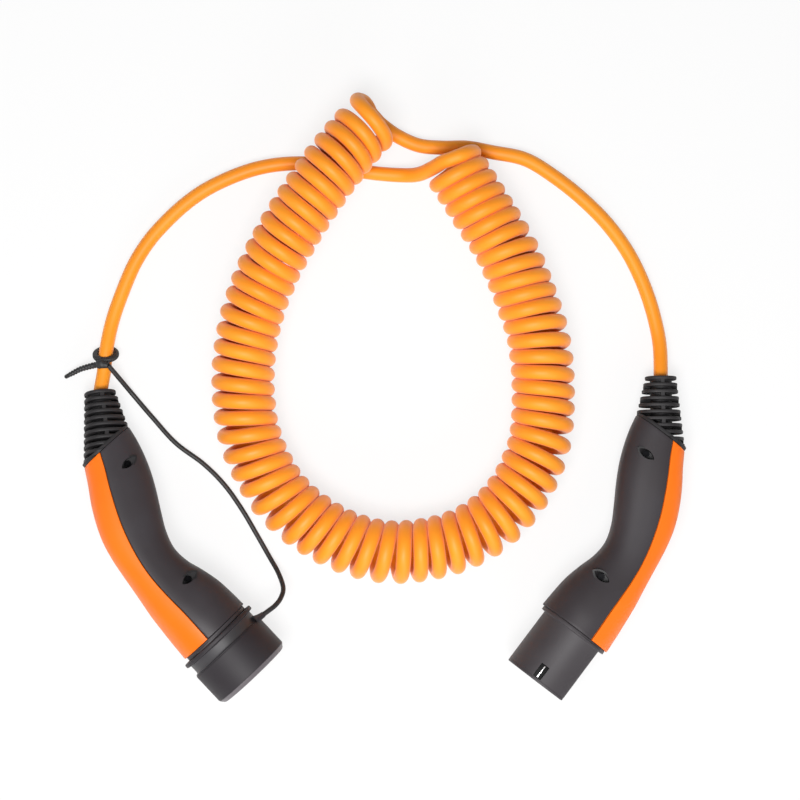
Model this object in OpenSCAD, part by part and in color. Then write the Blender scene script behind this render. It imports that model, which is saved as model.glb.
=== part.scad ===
// Spiral charging cable for an electric car, with a plug at each end, lying on a floor.
// The plug for the station wears its cap, and the plug for the car is open.
// Each plug is drawn in its own frame: x runs forward along the nose, y points to the
// rounded back of the handle with its cover, and z is across the two shells.

/* [Cable] */
// Diameter of the cable's jacket
cable_d = 12.2; // [10.1:0.1:13.4]
// Outer diameter of the spiral
coil_od = 54.4; // [45:0.2:60]
// Diameter of the cap's tether
tether_d = 4.2; // [3.4:0.1:5]

/* [Nose] */
// Diameter of the nose's round side
nose_d = 63; // [60:0.5:76]
// Distance from the nose's axis to its flat side
nose_flat = 23.5; // [22:0.5:27]
// Wall of the nose
nose_wall = 3; // [2.4:0.1:3.6]
// Length of the nose that goes into the car
car_nose_len = 55.5; // [46:0.5:67]
// Length of the nose that goes into the station
station_nose_len = 45; // [37:0.5:54]
// Thickness of the flange behind the nose
flange_t = 3.2; // [2:0.1:5]

/* [Contacts] */
// Distance between neighbouring power contacts
contact_pitch = 16; // [15:0.1:17]
// Bore of a power contact, and diameter of a power pin
power_d = 6; // [5:0.1:7.2]
// Bore of a signal contact, and diameter of a signal pin
signal_d = 3; // [2.5:0.1:3.6]
// Depth of a contact's bore
bore_depth = 28; // [23:0.5:34]

/* [Handle] */
// Width added to the nose's diameter where the handle meets it
collar_extra = 2; // [1:0.1:4]
// Wall of the handle's shells
shell_wall = 2.6; // [2:0.1:3.2]
// Thickness of the cover on the handle's back
cover_t = 2.6; // [2:0.1:3.2]
// Share of the handle's width, from its middle, at which the cover starts
cover_share = 0.43; // [0.36:0.01:0.52]
// Diameter of the housing screws
screw_d = 4; // [3:0.1:4.8]

/* [Boot] */
// Thickness of a rib, and of the slot after it
rib_t = 2.9; // [2.4:0.1:3.2]
// Wall of the boot's core round the cable
boot_wall = 3.3; // [2.8:0.1:4]
// Width of the webs that join the ribs
web_t = 3.2; // [2.4:0.1:4]

/* [Cap] */
// Wall of the cap's body round the nose
cap_wall = 4.5; // [3.5:0.1:5.4]
// Height of the rim above the cap's body
cap_rim_h = 0.7; // [0.5:0.1:2]
// Thickness of the cap's front wall
cap_front = 4.4; // [3:0.1:6]

/* [Hidden] */

orange = [1.0, 0.48, 0.12];
dark = [0.24, 0.23, 0.25];
black = [0.12, 0.12, 0.13];

gap = 0.3;        // seam between moulded parts
slide = 0.05;     // clearance of a contact in its carrier
nose_r = nose_d / 2;
collar_r = (nose_d + collar_extra) / 2;
cable_r = cable_d / 2;
coil_r = coil_od / 2;
tether_r = tether_d / 2;
cap_fit = 0.3;      // clearance of the cap round the nose
cap_r = nose_r + cap_fit + cap_wall;
cap_rim_r = cap_r + cap_rim_h;

// Places of the plugs: x, y, height of the axis, heading of the nose, lift of the nose, roll
car_place = [159.6, -76.3, collar_r - 0.02, 232.7, 3.59, 3];
station_place = [-145, -78.5, cap_rim_r - 0.46, -46.9, -0.38, 159];

// Handle at even steps back from the nose: edge at the back, edge at the palm, half depth
station_step = 15;
handle = [
    [34.6, -33.0, 32.5], [33.6, -32.2, 31.6], [32.3, -30.7, 29.4], [30.8, -27.2, 26.6],
    [28.5, -22.9, 24.2], [26.3, -22.3, 22.6], [24.2, -27.2, 21.8], [21.6, -35.6, 21.4],
    [17.6, -44.6, 21.2], [11.2, -52.6, 21.0], [2.9, -58.8, 20.6], [-7.1, -63.4, 19.9],
    [-16.3, -66.4, 19.2]];
handle_len = 177;
square_front = 2.0;   // section exponent at the nose, 2 is round
square_grip = 2.4;    // section exponent along the grip
rings_per_step = 2;

// Boot axis: the cable's way out of the handle, from the boot's free end inwards
boot_end = [-216.6, -68.9, 0];
boot_angle = 37.3;
boot_in = [cos(boot_angle), sin(boot_angle), 0];
boot_across = [-sin(boot_angle), cos(boot_angle), 0];
boot_end_r = 13.2;
boot_back_taper = 0.107;
boot_palm_taper = 0.243;
boot_depth_taper = 0.12;
boot_rows = 11;
boot_base_t = 3;
core_r = cable_r + boot_wall;
anchor_r = core_r + 3;
anchor_t = 3;
anchor_at = 57;
jacket_end = 82;

// Housing screws, and the pockets over their ends
screw_spots = [[-47.7, -8.7], [-154, -40]];
boss_r = screw_d / 2 + 2.6;
pocket_long = 15.5;
pocket_wide = 7;
pocket_deep = 8;
pocket_wall = 1.6;
pocket_r = (pow(pocket_long / 2, 2) + pow(pocket_wide / 2, 2)) / pocket_wide;
head_r = 2.9;
head_h = 2.6;

// Nose axis: the D sits a little nearer the palm than the middle of the flange
flange_mid = (handle[0][0] + handle[0][1]) / 2;
nose_drop = 1.4;
nose_axis_y = flange_mid - nose_drop + (nose_r - nose_flat) / 2;
flange_r = collar_r - 0.5;
spigot_r = collar_r - shell_wall - cover_t - gap - 1.8;
spigot_wall = 2.6;
spigot_len = 9;
carrier_gap = 0.15;
carrier_tail = 14;
carrier_recess = 5;
well_depth = 28;
well_r = contact_pitch / 2 - 1.3;
signal_well_r = 4.3;
seal_r = 1;

// Contacts: place across the nose, above its axis, and wire
row_drop = contact_pitch * sin(60);
signal_rise = 11.5;
earth = [0, 0];
neutral = [0, -contact_pitch];
line_1 = [0, contact_pitch];
line_2 = [-row_drop, -contact_pitch / 2];
line_3 = [-row_drop, contact_pitch / 2];
pilot = [signal_rise, -contact_pitch / 2];
proximity = [signal_rise, contact_pitch / 2];
power_wall = 1.1;
signal_wall = 0.9;
collar_len = 2;
barrel_len = 12;
barrel_back = carrier_tail + collar_len + barrel_len;
core_wire_r = 1.7;
bundle_r = 3.9;
bundle_bend = [-46, 9, 0];

// Lock slots in the nose
slot_long = 12.8;
slot_wide = 7.6;
slot_from_rim = 2.7;
slot_y = -2.2;

// Clamp on the cable
clamp_at = 72;
clamp_len = 9;
clamp_screw_gap = cable_r + 2.9;
clamp_half = clamp_screw_gap + 2.9;
clamp_arch_r = cable_r + 1.4;
clamp_foot = 0.6;
clamp_ear_t = 3.4;
clamp_screw_r = 1.6;
clamp_screw_head_r = 2.4;
clamp_post_r = 2.6;
clamp_post_depth = [19.4, 11];

// Cap
cap_mid_y = nose_axis_y - 2;
cap_back = flange_t + gap + 0.3;
cap_neck_len = 9.6;
cap_neck_cut = 2.7;
cap_rim_t = 4;
cap_len = station_nose_len + cap_front + 0.6;

// Heights for what lies on the floor
lay = cable_r;
lift = cable_d + 0.6;
strung = tether_r;

// Left lead, from the station's boot to the start of the spiral
lead_station_route = [
    [-243, 141, 10.6], [-241, 160, 10], [-237, 182, lay + 1], [-230, 204, lay],
    [-218, 233, lay], [-205, 254, lay], [-191, 270, lay], [-175, 285, lay], [-157, 298, lay],
    [-135, 309, lay], [-112, 317, lay], [-88, 321, lay], [-62, 321, lay], [-36, 317, lay],
    [-10, 313, lay], [14, 311, lay + 2], [28, 311, lay + 10], [40, 315, lay + 23],
    [49, 319, lay + 35]];

// Right lead, from the end of the spiral to the car's boot
coil_exit = [-3, 355, lay + 5];
lead_car_route = [
    [8, 346, lay], [28, 337, lay], [49, 335, lay], [70, 335, lay], [92, 331, lay],
    [120, 325, lay], [145, 310, lay], [169, 291, lay], [190, 270, lay], [207, 247, lay],
    [219, 224, lay], [228, 200, lay], [234, 176, lay + 1], [236, 158, lay + 4]];

// Middle line of the spiral, from its start to its end, lifted where the left lead runs under it
coil_route = [
    [60, 313, coil_r], [83, 277, coil_r], [103, 244, coil_r], [118, 208, coil_r],
    [130, 170, coil_r], [134, 129, coil_r], [132, 87, coil_r], [123, 58, coil_r],
    [107, 31, coil_r], [85, 10, coil_r], [58, -4, coil_r], [28, -11, coil_r],
    [-2, -12, coil_r], [-31, -5, coil_r], [-57, 8, coil_r], [-81, 26, coil_r],
    [-100, 50, coil_r], [-117, 89, coil_r], [-122, 137, coil_r], [-116, 183, coil_r + 1],
    [-102, 223, coil_r + lift / 3], [-84, 257, coil_r + lift * 0.75], [-63, 290, coil_r + lift],
    [-40, 322, coil_r + lift], [-15, 352, coil_r + lift / 2]];

// Tether, from the strap to the cap
tether_route = [
    [-238, 147, 19.6], [-230, 136.5, 12], [-219, 122, strung + 1], [-202, 102, strung],
    [-182, 80, strung], [-158, 62, strung], [-140, 44, strung], [-125, 23, strung],
    [-112, 1, strung], [-101, -18, 4], [-93, -31, 11], [-88, -43, 22], [-89.5, -51, 30],
    [-94, -57, 36], [-100, -61.5, 40.5], [-105, -65, 43]];
strap_mid = [-241.4, 156.5, 10.1];
strap_tilt = 34;
strap_head = [-244.6, 148.2, 18];
strap_tail = [-278, 136.8, 2.2];
strap_r = 2;
strap_loop_r = cable_r + strap_r + 1.1;
strap_top = strap_mid + strap_loop_r * [0, -sin(strap_tilt), cos(strap_tilt)];
strap_head_r = 4.2;
strap_tail_r = 1.5;
strap_teeth = 9;

// Curve through a table's rows, x counts rows
function blend(a, b, c, d, t) =
    0.5 * (2 * b + (c - a) * t + (2 * a - 5 * b + 4 * c - d) * t * t
        + (3 * b - a - 3 * c + d) * t * t * t);
function along(table, x) =
    let (last = len(table) - 1, i = min(floor(x), last - 1))
    blend(i > 0 ? table[i - 1] : 2 * table[0] - table[1], table[i], table[i + 1],
        i + 2 > last ? 2 * table[last] - table[last - 1] : table[i + 2], x - i);

// The handle grows or shrinks with the collar near the nose
function handle_x(i) = -min(i * station_step, handle_len);
function swell(i) = (collar_r - 32.5) * max(0, 1 - i / 5);
function handle_section(x) =
    let (row = along(handle, x), s = swell(x))
    [(row[0] + row[1]) / 2, (row[0] - row[1]) / 2 + s, row[2] + s,
        min(square_grip, square_front + x / 8)];
function sign_power(v, p) = sign(v) * pow(abs(v), p);
function rim(section, angle, inset) =
    [section[0] + (section[1] - inset) * sign_power(cos(angle), 2 / section[3]),
        (section[2] - inset) * sign_power(sin(angle), 2 / section[3])];
function cover_angle(section) = acos(pow(cover_share, section[3] / 2));
function arc(section, from, to, steps, inset) =
    [for (i = [0:steps]) rim(section, from + (to - from) * i / steps, inset)];

// Half shell: outside, the ledge that carries the cover, and the inside
function shell_outline(section) =
    let (a = cover_angle(section), ledge = cover_t + gap)
    concat(arc(section, 180, a, 9, 0), arc(section, a, 0, 4, ledge),
        arc(section, 0, a, 4, ledge + shell_wall), arc(section, a + 14, 180, 9, shell_wall));
function cover_outline(section) =
    let (a = cover_angle(section) - 0.7)
    concat(arc(section, a, -a, 10, 0), arc(section, -a, a, 10, cover_t));

// Solid through a list of rings, each with the same even number of points
module loft(rings) {
    n = len(rings[0]);
    m = len(rings);
    last = (m - 1) * n;
    polyhedron(
        points = [for (ring = rings) each ring],
        faces = concat(
            [for (j = [0:n / 2 - 2]) [j, j + 1, n - 2 - j, n - 1 - j]],
            [for (j = [0:n / 2 - 2]) [last + n - 1 - j, last + n - 2 - j, last + j + 1, last + j]],
            [for (i = [0:m - 2], j = [0:n - 1]) [i * n + j, (i + 1) * n + j, i * n + (j + 1) % n]],
            [for (i = [0:m - 2], j = [0:n - 1])
                [i * n + (j + 1) % n, (i + 1) * n + j, (i + 1) * n + (j + 1) % n]]));
}

// Tube along a route, with its end faces square to the given directions
function unit(v) = v / norm(v);
function ring_at(p, direction, r, sides) =
    let (side = unit(cross([0, 0, 1], direction)), up = cross(direction, side))
    [for (k = [0:sides - 1]) p + r * (cos(k * 360 / sides) * side + sin(k * 360 / sides) * up)];
module tube(route, r, sides, first, last) {
    m = len(route);
    loft([for (i = [0:m - 1])
        ring_at(route[i], i == 0 ? first : i == m - 1 ? last
            : unit(unit(route[i] - route[i - 1]) + unit(route[i + 1] - route[i])), r, sides)]);
}

// Round bar between two points
module rod(from, to, r) {
    way = to - from;
    translate(from) rotate([0, acos(way[2] / norm(way)), atan2(way[1], way[0])])
        cylinder(r = r, h = norm(way), $fn = 32);
}

// Places a plug, and finds where a point of a plug comes to lie
module put(place) {
    translate([place[0], place[1], place[2]]) rotate([0, 0, place[3]]) rotate([0, -place[4], 0])
        rotate([place[5], 0, 0]) children();
}
function rolled(p, a) = [p[0], p[1] * cos(a) - p[2] * sin(a), p[1] * sin(a) + p[2] * cos(a)];
function raised(p, a) = [p[0] * cos(a) - p[2] * sin(a), p[1], p[0] * sin(a) + p[2] * cos(a)];
function turned(p, a) = [p[0] * cos(a) - p[1] * sin(a), p[0] * sin(a) + p[1] * cos(a), p[2]];
function turn_into(place, p) = turned(raised(rolled(p, place[5]), place[4]), place[3]);
function world(place, p) = [place[0], place[1], place[2]] + turn_into(place, p);

// Frames inside a plug: along the nose, and along the boot
module on_nose(from) {
    translate([from, nose_axis_y, 0]) rotate([0, 90, 0]) children();
}
module on_boot(from) {
    translate(boot_end + from * boot_in) rotate([0, 90, boot_angle]) children();
}

module half_shell() {
    difference() {
        union() {
            loft([for (i = [0:(len(handle) - 1) * rings_per_step])
                let (x = i / rings_per_step, section = handle_section(x))
                [for (p = shell_outline(section)) [handle_x(x), p[0], p[1]]]]);
            for (spot = screw_spots)
                translate([spot[0], spot[1], 0]) boss(pocket_floor(spot));
        }
        for (spot = screw_spots) {
            translate([spot[0], spot[1], pocket_floor(spot)]) pocket(0, 30);
            translate([spot[0], spot[1], -1]) cylinder(d = screw_d + 0.5, h = 40, $fn = 32);
        }
    }
}

function section_at(x) = handle_section(-x / station_step);
function pocket_floor(spot) = section_at(spot[0])[2] - pocket_deep;

// Eye shaped pocket, and with a wall added the cup that lines it
module pocket(wall, deep) {
    r = pocket_r + wall;
    linear_extrude(deep) intersection() {
        translate([pocket_r - pocket_wide / 2, 0]) circle(r, $fn = 48);
        translate([pocket_wide / 2 - pocket_r, 0]) circle(r, $fn = 48);
    }
}

// Screw post, with the pocket's cup on top of it up into the shell's wall
module boss(h) {
    cylinder(r = boss_r, h = h, $fn = 32);
    translate([0, 0, h - pocket_wall]) pocket(pocket_wall, pocket_deep + pocket_wall - 1.3);
}

module shell_screw_side() {
    color(dark) half_shell();
}

module shell_nut_side() {
    color(dark) union() {
        mirror([0, 0, 1]) half_shell();
        for (k = [0, 1])
            along_boot(clamp_at + clamp_len / 2)
                translate([0, (2 * k - 1) * clamp_screw_gap, -clamp_post_depth[k]])
                    clamp_post(clamp_post_depth[k] + 0.4);
    }
}

// Post for a screw of the cable clamp, with its blind hole
module clamp_post(h) {
    difference() {
        cylinder(r = clamp_post_r, h = h, $fn = 32);
        translate([0, 0, h - 10]) cylinder(r = clamp_screw_r + 0.1, h = 11, $fn = 32);
    }
}

module back_cover() {
    color(orange) loft([for (i = [0:(len(handle) - 1) * rings_per_step])
        let (x = i / rings_per_step, section = handle_section(x))
        [for (p = cover_outline(section)) [handle_x(x), p[0], p[1]]]]);
}

// Boot: ribs that swell towards the handle, slots that turn by a quarter from row to row
function boot_outline(t) =
    [for (k = [0:27]) let (a = k * 360 / 28, c = cos(a), s = sin(a),
            half = boot_end_r + t * (c > 0 ? boot_back_taper : boot_palm_taper))
        [half * sign_power(c, 2 / 2.3), (boot_end_r + t * boot_depth_taper) * sign_power(s, 2 / 2.3)]];
module boot_slab(t, thick, shrink) {
    translate(boot_end + t * boot_in) rotate([0, 0, boot_angle]) rotate([90, 0, 90])
        linear_extrude(thick) polygon([for (p = boot_outline(t + thick / 2)) (1 - shrink) * p]);
}
module boot() {
    reach = boot_rows * 2 * rib_t;
    color(black) difference() {
        union() {
            intersection() {
                union() {
                    for (row = [0:boot_rows - 1])
                        boot_slab(row * 2 * rib_t, rib_t, 0);
                    for (row = [0:2:boot_rows - 1])
                        row_web(row, web_t, 60);
                    for (row = [1:2:boot_rows - 1])
                        row_web(row, 60, web_t);
                }
                translate([-260 - handle_len - gap, -150, -60]) cube([260, 240, 120]);
            }
            boot_base();
            on_boot(0) cylinder(r = core_r, h = anchor_at + anchor_t, $fn = 48);
            on_boot(anchor_at) cylinder(r = anchor_r, h = anchor_t, $fn = 48);
        }
        on_boot(-1) cylinder(r = cable_r + 0.15, h = reach + 40, $fn = 48);
    }
}
module row_web(row, wide, deep) {
    t = (row * 2 + 1) * rib_t;
    intersection() {
        boot_slab(t - 0.1, rib_t + 0.2, 0.03);
        translate(boot_end + (t - 1) * boot_in) rotate([0, 0, boot_angle])
            translate([0, -wide / 2, -deep / 2]) cube([rib_t + 2, wide, deep]);
    }
}
module boot_base() {
    section = handle_section(len(handle) - 1);
    slope = tan(boot_angle) * boot_base_t * 0.5;
    translate([-handle_len - gap - boot_base_t, -slope, 0]) rotate([90, 0, 90])
        linear_extrude(boot_base_t)
            polygon([for (k = [0:39]) rim(section, k * 9, 0.3)]);
}

// Outline of the nose, grown or shrunk by an inset; x of the drawing is up
module nose_outline(inset) {
    intersection() {
        circle(nose_r - inset, $fn = 96);
        translate([-nose_r - 1, -nose_r - 1])
            square([nose_r + 1 + nose_flat - inset, 2 * nose_r + 2]);
    }
}
module nose_prism(from, long, inset) {
    translate([from, nose_axis_y, 0]) rotate([90, 0, 90])
        linear_extrude(long) nose_outline(inset);
}
module nose(long) {
    color(dark) difference() {
        union() {
            nose_prism(gap, long - gap, 0);
            translate([gap, flange_mid, 0]) rotate([0, 90, 0])
                cylinder(r = flange_r, h = flange_t, $fn = 96);
            translate([-spigot_len, flange_mid, 0]) rotate([0, 90, 0])
                cylinder(r = spigot_r, h = spigot_len + gap + 0.1, $fn = 96);
        }
        nose_prism(flange_t + gap, long, nose_wall);
        translate([-spigot_len - 1, flange_mid, 0]) rotate([0, 90, 0])
            cylinder(r = spigot_r - spigot_wall, h = 30, $fn = 96);
        translate([-spigot_len / 2, flange_mid, 0]) rotate([0, 90, 0])
            rotate_extrude($fn = 96) translate([spigot_r, 0]) circle(seal_r + 0.1, $fn = 24);
        for (side = [-1, 1])
            translate([long - slot_from_rim - slot_long / 2, slot_y, side * nose_r])
                cube([slot_long, slot_wide, 4 * nose_wall], center = true);
    }
}
module nose_seal() {
    color(black) translate([-spigot_len / 2, flange_mid, 0]) rotate([0, 90, 0])
        rotate_extrude($fn = 96) translate([spigot_r, 0]) circle(seal_r, $fn = 24);
}
module lock_plates(long) {
    seat = nose_r - nose_wall;
    color("silver") for (side = [-1, 1])
        translate([long - slot_from_rim - slot_long / 2, slot_y, side * (seat + 0.4)]) {
            cube([slot_long - 0.4, slot_wide - 0.4, 0.8], center = true);
            translate([0, 0, side * 1]) cube([slot_long - 1.6, 1.3, 2], center = true);
        }
}

// Block that holds the contacts, with a well round each
module contact_carrier(long) {
    front = long - carrier_recess;
    color(black) difference() {
        union() {
            nose_prism(flange_t + gap + 0.1, front - flange_t - gap - 0.1, nose_wall + carrier_gap);
            translate([-carrier_tail, flange_mid, 0]) rotate([0, 90, 0])
                cylinder(r = spigot_r - spigot_wall - 0.3, h = carrier_tail + flange_t + gap + 1,
                    $fn = 96);
        }
        for (spot = [earth, neutral, line_1, line_2, line_3]) {
            at_contact(spot, front - well_depth) cylinder(r = well_r, h = 60, $fn = 48);
            at_contact(spot, -60)
                cylinder(r = power_d / 2 + power_wall + slide, h = 120, $fn = 48);
        }
        for (spot = [pilot, proximity]) {
            at_contact(spot, front - well_depth) cylinder(r = signal_well_r, h = 60, $fn = 48);
            at_contact(spot, -60)
                cylinder(r = signal_d / 2 + signal_wall + slide, h = 120, $fn = 48);
        }
    }
}
module at_contact(spot, from) {
    translate([from, nose_axis_y + spot[0], spot[1]]) rotate([0, 90, 0]) children();
}

// Contacts: a stem through the carrier, a collar behind it and a crimp barrel
module contact_stem(spot, bore, wall, front) {
    r = bore / 2 + wall;
    at_contact(spot, -carrier_tail) cylinder(r = r, h = carrier_tail + front, $fn = 48);
    at_contact(spot, -carrier_tail - collar_len) cylinder(r = r + 0.8, h = collar_len, $fn = 48);
    difference() {
        at_contact(spot, -barrel_back) cylinder(r = r - 0.4, h = barrel_len, $fn = 48);
        at_contact(spot, -barrel_back - 1) cylinder(r = r - 1, h = barrel_len - 1, $fn = 48);
    }
}
module socket(spot, bore, wall, finish) {
    front = car_nose_len - carrier_recess - 1;
    color(finish) difference() {
        contact_stem(spot, bore, wall, front);
        at_contact(spot, front - bore_depth) cylinder(d = bore, h = bore_depth + 1, $fn = 48);
    }
}
module pin(spot, bore, wall, finish) {
    root = station_nose_len - carrier_recess - well_depth + 1;
    tip = station_nose_len - carrier_recess - 1;
    color(finish) union() {
        contact_stem(spot, bore, wall, root);
        at_contact(spot, root - 0.1) cylinder(d = bore, h = tip - root - bore / 2 + 0.1, $fn = 48);
        at_contact(spot, tip - bore / 2) sphere(d = bore, $fn = 48);
    }
}

// Resistor that tells the car how much current the cable carries
module coding_resistor() {
    from = [-carrier_tail - collar_len - 5, nose_axis_y + earth[0], earth[1]];
    to = [from[0], nose_axis_y + proximity[0], proximity[1]];
    way = unit(to - from);
    start = from + way * (power_d / 2 + power_wall - 0.3);
    end = to - way * (signal_d / 2 + signal_wall - 0.3);
    mid = (start + end) / 2;
    color("tan") union() {
        rod(start, end, 0.35);
        rod(mid - way * 2, mid + way * 2, 1.1);
    }
}

// Cores of the cable, from the crimp barrels to the end of the jacket
core_spots = [earth, line_1, line_3, line_2, neutral, pilot];
core_colors = ["green", "saddlebrown", "dimgray", "black", "royalblue", "white"];
module conductors() {
    jacket = boot_end + jacket_end * boot_in;
    for (k = [0:5]) {
        place = bundle_r * [0, cos(k * 60), sin(k * 60)];
        spot = core_spots[k];
        barrel = [-barrel_back - 0.2, nose_axis_y + spot[0], spot[1]];
        end = jacket + 0.2 * boot_in + place[1] * boot_across + [0, 0, place[2]];
        color(core_colors[k])
            tube([end, end + 8 * boot_in, bundle_bend + place, barrel - [5, 0, 0], barrel],
                core_wire_r, 8, boot_in, [1, 0, 0]);
    }
}

// Saddle that grips the jacket between the shells
module cable_clamp() {
    color(black) difference() {
        union() {
            along_boot(clamp_at) translate([0, -clamp_half, clamp_foot])
                cube([clamp_len, 2 * clamp_half, clamp_ear_t]);
            on_boot(clamp_at) cylinder(r = clamp_arch_r, h = clamp_len, $fn = 48);
        }
        along_boot(clamp_at - 1) translate([0, -clamp_half, clamp_foot - 20])
            cube([clamp_len + 2, 2 * clamp_half, 20]);
        on_boot(clamp_at - 1) cylinder(r = cable_r + 0.1, h = clamp_len + 2, $fn = 48);
        clamp_holes() translate([0, 0, -1]) cylinder(r = clamp_screw_r + 0.2, h = 40, $fn = 24);
    }
}
module along_boot(from) {
    translate(boot_end + from * boot_in) rotate([0, 0, boot_angle]) children();
}
module clamp_holes() {
    for (side = [-1, 1])
        along_boot(clamp_at + clamp_len / 2) translate([0, side * clamp_screw_gap, 0]) children();
}
module clamp_screws() {
    seat = clamp_foot + clamp_ear_t;
    color("silver") clamp_holes() union() {
        translate([0, 0, -9]) cylinder(r = clamp_screw_r, h = 9 + seat + 0.5, $fn = 32);
        translate([0, 0, seat + 0.1]) cylinder(r = clamp_screw_head_r, h = 1.6, $fn = 32);
    }
}

module housing_screws() {
    color("silver") for (spot = screw_spots) {
        top = pocket_floor(spot);
        translate([spot[0], spot[1], 0]) difference() {
            union() {
                translate([0, 0, -top - 1]) cylinder(d = screw_d, h = 2 * top + 2, $fn = 32);
                translate([0, 0, top + 0.1]) cylinder(r = head_r, h = head_h, $fn = 48);
            }
            translate([0, 0, top + head_h - 1]) cylinder(r = 1.5, h = 4, $fn = 6);
        }
    }
}
module housing_nuts() {
    color("silver") for (spot = screw_spots)
        translate([spot[0], spot[1], -pocket_floor(spot) - 2.8]) difference() {
            cylinder(r = 3.1, h = 2.6, $fn = 6);
            translate([0, 0, -1]) cylinder(d = screw_d + 0.1, h = 6, $fn = 32);
        }
}

// Soft cap over the station's nose
module nose_cap() {
    r = cap_r;
    rim_r = cap_rim_r;
    neck_r = r - cap_neck_cut;
    color(black) {
        put(station_place) difference() {
            translate([cap_back, cap_mid_y, 0]) rotate([0, 90, 0]) rotate_extrude($fn = 96)
                polygon([[0, 0], [rim_r - 1, 0], [rim_r, 1], [rim_r, cap_rim_t - 1],
                    [rim_r - 1, cap_rim_t], [neck_r, cap_rim_t + 1],
                    [neck_r, cap_neck_len + 3], [r, cap_neck_len + 5],
                    [r, cap_len - cap_back - 3.5], [r - 3.5, cap_len - cap_back],
                    [0, cap_len - cap_back]]);
            nose_prism(0, station_nose_len + 0.6, -cap_fit);
        }
        rod(tether_route[len(tether_route) - 1], cap_anchor, tether_r + 0.8);
    }
}
tether_last = unit(tether_route[len(tether_route) - 1] - tether_route[len(tether_route) - 2]);
cap_anchor = tether_route[len(tether_route) - 1] + 7 * tether_last;

module cap_tether() {
    color(black) tube(tether_route, tether_r, 8, unit(tether_route[0] - strap_head), tether_last);
}

// Strap that ties the tether to the cable: a loop, a head and a notched tail
module tether_strap() {
    tail = strap_tail - strap_head;
    color(black) difference() {
        union() {
            translate(strap_mid) rotate([90 + strap_tilt, 0, 0]) rotate_extrude($fn = 64)
                translate([strap_loop_r, 0]) circle(strap_r, $fn = 32);
            translate(strap_head) cylinder(r = strap_head_r, h = 7, center = true, $fn = 48);
            rod(strap_head, strap_top, strap_tail_r);
            rod(strap_head, tether_route[0], tether_r + 0.5);
            for (k = [0:strap_teeth - 1])
                rod(strap_head + tail * k / strap_teeth,
                    strap_head + tail * (k + 0.55) / strap_teeth, 2.2 - 0.06 * k);
            rod(strap_head, strap_tail, strap_tail_r);
        }
        rod(lead_station_route[0], lead_station_route[1], cable_r + 0.4);
        rod(lead_station_route[1], lead_station_route[2], cable_r + 0.4);
    }
}

// Cable, from the cores at one plug to the cores at the other
module cable_lead(place, route, end, way) {
    jacket = boot_end + jacket_end * boot_in;
    out = -turn_into(place, boot_in);
    straight = world(place, boot_end) + 2 * out;
    color(orange) tube(concat([world(place, jacket), straight], route, [end]),
        cable_r, 12, out, way);
}
coil_first = unit(coil_route[1] - coil_route[0]);
coil_last = unit(coil_route[len(coil_route) - 1] - coil_route[len(coil_route) - 2]);
function on_face(p, way, rise) = p + rise * unit([0, 0, 1] - way[2] * way);
module cable_lead_station() {
    cable_lead(station_place, lead_station_route, on_face(coil_route[0], coil_first, 17),
        coil_first);
}
module cable_lead_car() {
    route = concat([for (i = [len(lead_car_route) - 1:-1:0]) lead_car_route[i]], [coil_exit]);
    cable_lead(car_place, route, on_face(coil_route[len(coil_route) - 1], coil_last, -17),
        -coil_last);
}
module spiral_coil() {
    color(orange) tube(coil_route, coil_r, 16, coil_first, coil_last);
}

put(car_place) shell_screw_side();  // car_shell_screw_side
put(car_place) shell_nut_side();  // car_shell_nut_side
put(car_place) back_cover();  // car_back_cover
put(car_place) boot();  // car_boot
put(car_place) nose(car_nose_len);  // car_nose
put(car_place) nose_seal();  // car_nose_seal
put(car_place) contact_carrier(car_nose_len);  // car_contact_carrier
put(car_place) socket(earth, power_d, power_wall, "gold");  // car_contact_earth
put(car_place) socket(neutral, power_d, power_wall, "gold");  // car_contact_neutral
put(car_place) socket(line_1, power_d, power_wall, "gold");  // car_contact_line_1
put(car_place) socket(line_2, power_d, power_wall, "gold");  // car_contact_line_2
put(car_place) socket(line_3, power_d, power_wall, "gold");  // car_contact_line_3
put(car_place) socket(pilot, signal_d, signal_wall, "gold");  // car_contact_pilot
put(car_place) socket(proximity, signal_d, signal_wall, "gold");  // car_contact_proximity
put(car_place) coding_resistor();  // car_coding_resistor
put(car_place) conductors();  // car_conductors
put(car_place) cable_clamp();  // car_cable_clamp
put(car_place) clamp_screws();  // car_clamp_screws
put(car_place) housing_screws();  // car_housing_screws
put(car_place) housing_nuts();  // car_housing_nuts
put(car_place) lock_plates(car_nose_len);  // car_lock_plates
put(station_place) shell_screw_side();  // station_shell_screw_side
put(station_place) shell_nut_side();  // station_shell_nut_side
put(station_place) back_cover();  // station_back_cover
put(station_place) boot();  // station_boot
put(station_place) nose(station_nose_len);  // station_nose
put(station_place) nose_seal();  // station_nose_seal
put(station_place) contact_carrier(station_nose_len);  // station_contact_carrier
put(station_place) pin(earth, power_d, power_wall, "silver");  // station_contact_earth
put(station_place) pin(neutral, power_d, power_wall, "silver");  // station_contact_neutral
put(station_place) pin(line_1, power_d, power_wall, "silver");  // station_contact_line_1
put(station_place) pin(line_2, power_d, power_wall, "silver");  // station_contact_line_2
put(station_place) pin(line_3, power_d, power_wall, "silver");  // station_contact_line_3
put(station_place) pin(pilot, signal_d, signal_wall, "silver");  // station_contact_pilot
put(station_place) pin(proximity, signal_d, signal_wall, "silver");  // station_contact_proximity
put(station_place) coding_resistor();  // station_coding_resistor
put(station_place) conductors();  // station_conductors
put(station_place) cable_clamp();  // station_cable_clamp
put(station_place) clamp_screws();  // station_clamp_screws
put(station_place) housing_screws();  // station_housing_screws
put(station_place) housing_nuts();  // station_housing_nuts
put(station_place) lock_plates(station_nose_len);  // station_lock_plates
nose_cap();
cap_tether();
tether_strap();
cable_lead_station();
spiral_coil();
cable_lead_car();
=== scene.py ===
import math

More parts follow.
